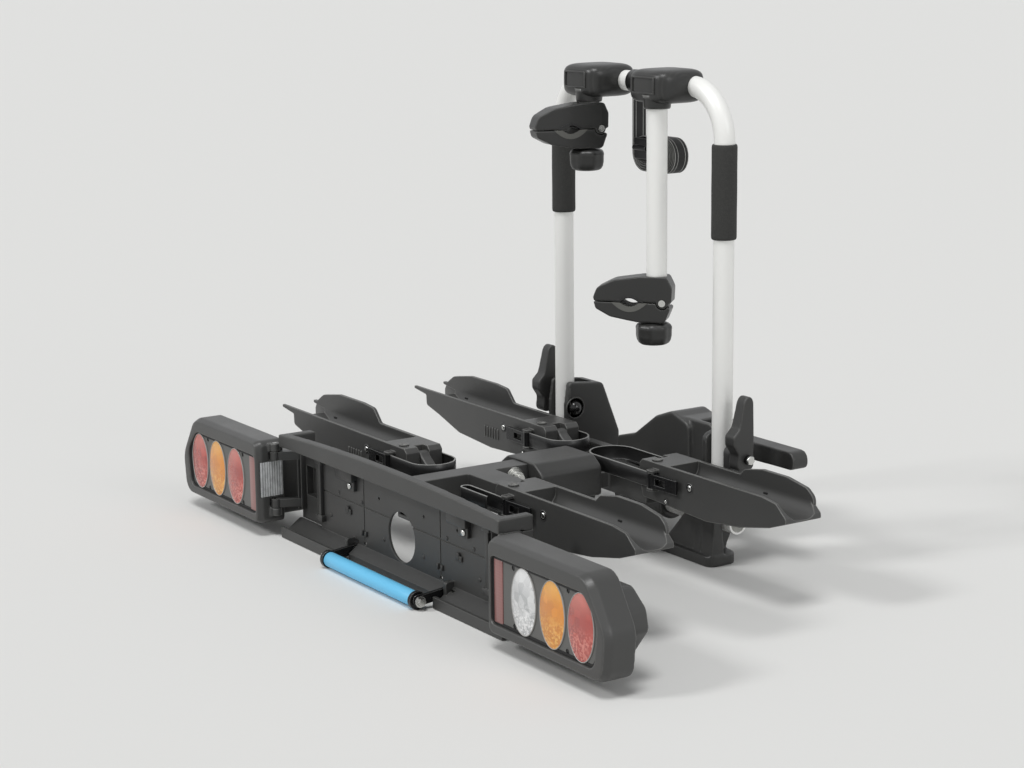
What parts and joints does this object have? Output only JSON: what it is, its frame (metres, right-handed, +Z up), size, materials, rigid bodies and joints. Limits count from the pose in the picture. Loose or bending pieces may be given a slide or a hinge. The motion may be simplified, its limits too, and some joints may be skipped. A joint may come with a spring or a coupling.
{
  "type": "folding bicycle carrier for a tow ball",
  "caption": "Folding bicycle carrier for a tow ball, with wheel trays, an upright hoop with clamp arms, a number plate board with side lamps and a tilt pedal.",
  "frame": {"origin": "centre of the tow ball in the coupling's socket", "axes": "+X to the right seen from behind the car, +Y towards the car, +Z up"},
  "size_m": [1.1674, 0.65, 0.713],
  "materials": {
    "frame": "satin powder coat",
    "steel": "zinc plated",
    "tube": "satin anodised",
    "casting": "black coated",
    "foam": "closed-cell foam",
    "webbing": "woven webbing",
    "grip": "blue sleeve",
    "lens": "coloured lens",
    "clear": "clear ribbed cover",
    "panel": "grey moulding",
    "moulding": "black moulding"
  },
  "bodies": {
    "platform": {"main_frame": "frame", "latch_cover": "moulding", "foot_left": "moulding", "foot_right": "moulding", "axle_tube": "tube", "hinge_housing_left": "moulding", "hinge_bracket_right": "moulding", "hoop_bolts": "steel", "top_rail": "moulding", "plate_board": "moulding", "wing_bracket_left": "moulding", "wing_bracket_right": "moulding", "frame_pins": "steel"},
    "wing_left": {"lamp_housing_left": "moulding", "lens_panel_left": "panel", "lamp_lenses_left": "lens", "panel_screws_left": "steel", "plate_lamp": "clear"},
    "wing_right": {"lamp_housing_right": "moulding", "lens_panel_right": "panel", "lamp_lenses_right": "lens", "panel_screws_right": "steel"},
    "hoop": {"hoop_tube": "tube", "foam_grips": "foam", "securing_strap": "webbing", "cam_buckle": "steel"},
    "cam_left": {"cam_lever_left": "moulding"},
    "cam_right": {"cam_lever_right": "moulding"},
    "coupling": {"coupling_housing": "moulding"},
    "coupling_lever": {"coupling_lever": "moulding"},
    "ball_jaw": {"ball_jaw": "steel"},
    "pedal": {"pedal_frame": "casting", "pedal_grip": "grip", "pedal_bolts": "steel"},
    "arm_left": {"knuckle_left": "moulding", "arm_tube_left": "tube"},
    "clamp_left": {"clamp_head_left": "moulding", "clamp_pivot_left": "steel"},
    "clamp_jaw_left": {"clamp_jaw_left": "moulding", "jaw_pad_left": "foam"},
    "knob_left": {"clamp_knob_left": "moulding"},
    "tray_front_left": {"tray_front_left": "moulding", "wheel_strap_front_left": "webbing"},
    "ratchet_front_left": {"ratchet_lever_front_left": "casting"},
    "tray_rear_left": {"tray_rear_left": "moulding", "wheel_strap_rear_left": "webbing"},
    "ratchet_rear_left": {"ratchet_lever_rear_left": "casting"},
    "arm_right": {"knuckle_right": "moulding", "arm_tube_right": "tube"},
    "clamp_right": {"clamp_head_right": "moulding", "clamp_pivot_right": "steel"},
    "clamp_jaw_right": {"clamp_jaw_right": "moulding", "jaw_pad_right": "foam"},
    "knob_right": {"clamp_knob_right": "moulding"},
    "tray_front_right": {"tray_front_right": "moulding", "wheel_strap_front_right": "webbing"},
    "ratchet_front_right": {"ratchet_lever_front_right": "casting"},
    "tray_rear_right": {"tray_rear_right": "moulding", "wheel_strap_rear_right": "webbing"},
    "ratchet_rear_right": {"ratchet_lever_rear_right": "casting"}
  },
  "joints": [
    {"name": "coupling_tilt", "type": "hinge", "parent": "platform", "child": "coupling", "pos_m": [0, -0.085, -0.055], "axis": [-1, 0, 0], "range_deg": [0, 55]},
    {"name": "hoop_fold", "type": "hinge", "parent": "platform", "child": "hoop", "pos_m": [0, -0.105, 0.052], "axis": [-1, 0, 0], "range_deg": [-60, 0]},
    {"name": "arm_swing_left", "type": "hinge", "parent": "hoop", "child": "arm_left", "pos_m": [-0.07, -0.105, 0.572], "axis": [-1, 0, 0], "range_deg": [0, 100]},
    {"name": "clamp_swivel_left", "type": "hinge", "parent": "arm_left", "child": "clamp_left", "pos_m": [-0.07, -0.147, 0.502], "axis": [0, 0, 1], "range_deg": [-75, 90]},
    {"name": "jaw_open_left", "type": "hinge", "parent": "clamp_left", "child": "clamp_jaw_left", "pos_m": [-0.06771, -0.13624, 0.502], "axis": [0.9781, -0.2079, 0], "range_deg": [0, 25]},
    {"name": "knob_turn_left", "type": "hinge", "parent": "clamp_jaw_left", "child": "knob_left", "pos_m": [-0.07083, -0.15091, 0.502], "axis": [0, 0, 1], "range_deg": [0, 600]},
    {"name": "wing_fold_left", "type": "hinge", "parent": "platform", "child": "wing_left", "pos_m": [-0.318, -0.56, 0], "axis": [0, 0, 1], "range_deg": [0, 90]},
    {"name": "tray_fold_front_left", "type": "hinge", "parent": "platform", "child": "tray_front_left", "pos_m": [-0.127, -0.413, 0.025], "axis": [0, 1, 0], "range_deg": [0, 75]},
    {"name": "ratchet_front_left", "type": "hinge", "parent": "tray_front_left", "child": "ratchet_front_left", "pos_m": [-0.16, -0.452, 0.017], "axis": [0, 0, 1], "range_deg": [0, 80], "deforming": ["wheel_strap_front_left"]},
    {"name": "tray_fold_rear_left", "type": "hinge", "parent": "platform", "child": "tray_rear_left", "pos_m": [-0.127, -0.164, 0.025], "axis": [0, 1, 0], "range_deg": [0, 75]},
    {"name": "ratchet_rear_left", "type": "hinge", "parent": "tray_rear_left", "child": "ratchet_rear_left", "pos_m": [-0.16, -0.203, 0.017], "axis": [0, 0, 1], "range_deg": [0, 80], "deforming": ["wheel_strap_rear_left"]},
    {"name": "cam_left", "type": "hinge", "parent": "hoop", "child": "cam_left", "pos_m": [-0.245, -0.105, 0.052], "axis": [-1, 0, 0], "range_deg": [0, 60]},
    {"name": "arm_swing_right", "type": "hinge", "parent": "hoop", "child": "arm_right", "pos_m": [0.097, -0.105, 0.572], "axis": [-1, 0, 0], "range_deg": [0, 100]},
    {"name": "clamp_swivel_right", "type": "hinge", "parent": "arm_right", "child": "clamp_right", "pos_m": [0.097, -0.147, 0.263], "axis": [0, 0, 1], "range_deg": [-40, 70]},
    {"name": "jaw_open_right", "type": "hinge", "parent": "clamp_right", "child": "clamp_jaw_right", "pos_m": [0.10504, -0.1395, 0.263], "axis": [0.682, -0.7314, 0], "range_deg": [0, 25]},
    {"name": "knob_turn_right", "type": "hinge", "parent": "clamp_jaw_right", "child": "knob_right", "pos_m": [0.09407, -0.14973, 0.263], "axis": [0, 0, 1], "range_deg": [0, 600]},
    {"name": "wing_fold_right", "type": "hinge", "parent": "platform", "child": "wing_right", "pos_m": [0.318, -0.56, 0], "axis": [0, 0, -1], "range_deg": [0, 90]},
    {"name": "tray_fold_front_right", "type": "hinge", "parent": "platform", "child": "tray_front_right", "pos_m": [0.127, -0.413, 0.025], "axis": [0, -1, 0], "range_deg": [0, 75]},
    {"name": "ratchet_front_right", "type": "hinge", "parent": "tray_front_right", "child": "ratchet_front_right", "pos_m": [0.16, -0.452, 0.017], "axis": [0, 0, -1], "range_deg": [0, 80], "deforming": ["wheel_strap_front_right"]},
    {"name": "tray_fold_rear_right", "type": "hinge", "parent": "platform", "child": "tray_rear_right", "pos_m": [0.127, -0.164, 0.025], "axis": [0, -1, 0], "range_deg": [0, 75]},
    {"name": "ratchet_rear_right", "type": "hinge", "parent": "tray_rear_right", "child": "ratchet_rear_right", "pos_m": [0.16, -0.203, 0.017], "axis": [0, 0, -1], "range_deg": [0, 80], "deforming": ["wheel_strap_rear_right"]},
    {"name": "cam_right", "type": "hinge", "parent": "hoop", "child": "cam_right", "pos_m": [0.245, -0.105, 0.052], "axis": [-1, 0, 0], "range_deg": [0, 60]},
    {"name": "coupling_lever", "type": "hinge", "parent": "coupling", "child": "coupling_lever", "pos_m": [0.095, -0.026, 0.042], "axis": [0, -1, 0], "range_deg": [0, 85]},
    {"name": "ball_jaw", "type": "slide", "parent": "coupling", "child": "ball_jaw", "axis": [0, 1, 0], "range_m": [0, 0.005]},
    {"name": "pedal", "type": "hinge", "parent": "platform", "child": "pedal", "pos_m": [0, -0.53, -0.097], "axis": [1, 0, 0], "range_deg": [0, 15], "stiffness_Nm_per_rad": 5, "springref_deg": -11.46}
  ],
  "couplings": [
    {"joint": "knob_turn_left", "follows": "jaw_open_left", "ratio": 20},
    {"joint": "knob_turn_right", "follows": "jaw_open_right", "ratio": 20},
    {"joint": "ball_jaw", "follows": "coupling_lever", "m_per_rad": 0.00337}
  ]
}
